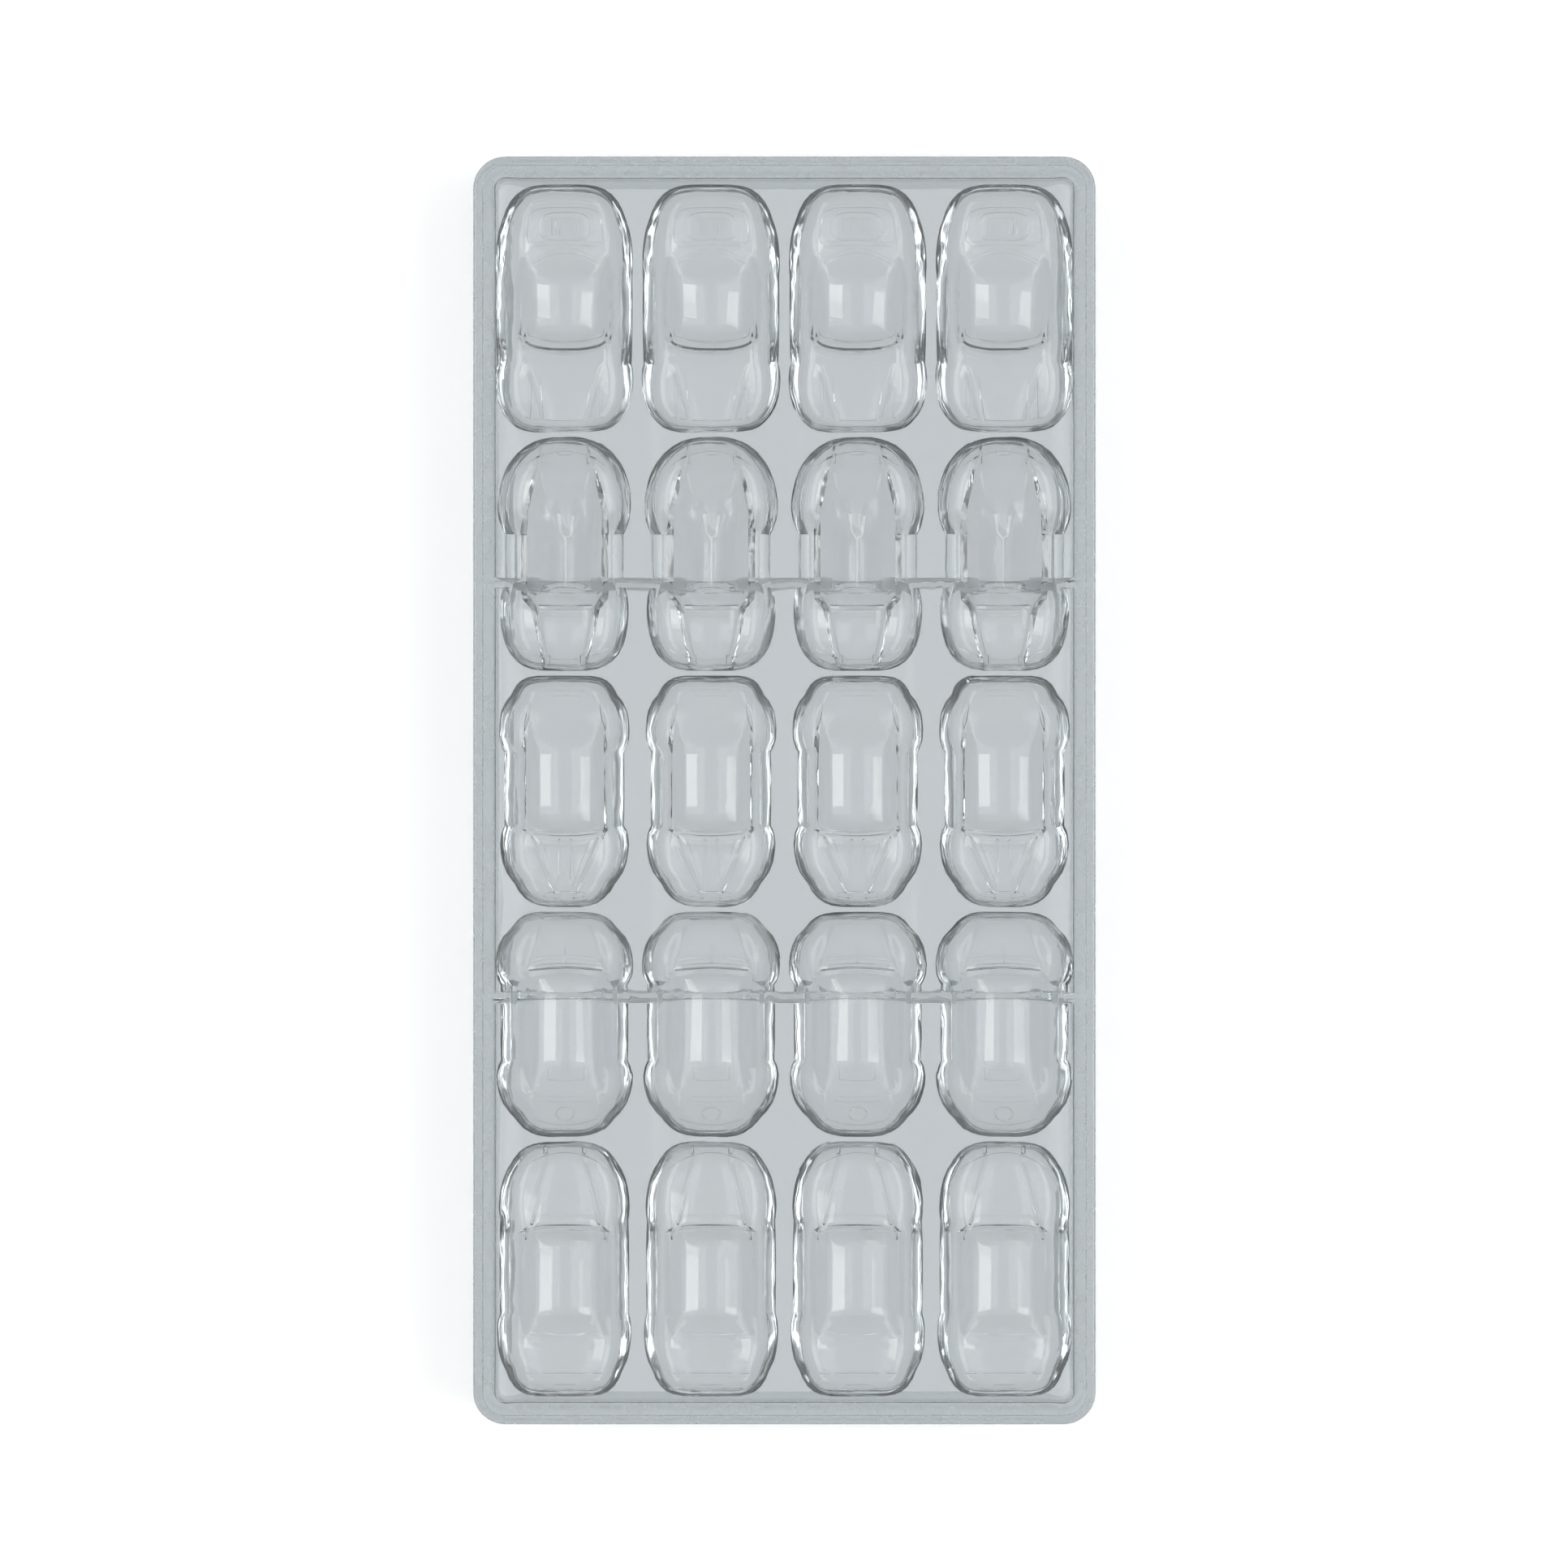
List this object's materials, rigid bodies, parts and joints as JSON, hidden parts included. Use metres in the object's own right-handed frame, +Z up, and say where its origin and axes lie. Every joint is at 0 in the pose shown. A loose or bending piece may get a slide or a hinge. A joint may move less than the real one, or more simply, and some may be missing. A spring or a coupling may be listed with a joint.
{
  "type": "chocolate mould",
  "caption": "Clear rigid chocolate mould: a flat plate on a stacking skirt, with car-shaped cavities in rows and columns.",
  "frame": {"origin": "middle of the skirt's foot, on the surface that the mould stands on", "axes": "+Z up to the working face, +Y along the mould's length to the row of the coupes, +X across it"},
  "size_m": [0.135, 0.275, 0.024],
  "materials": {
    "clear_polycarbonate": "clear, polished, faintly blue-grey"
  },
  "bodies": {
    "root": {"mould": "clear_polycarbonate"}
  },
  "joints": []
}
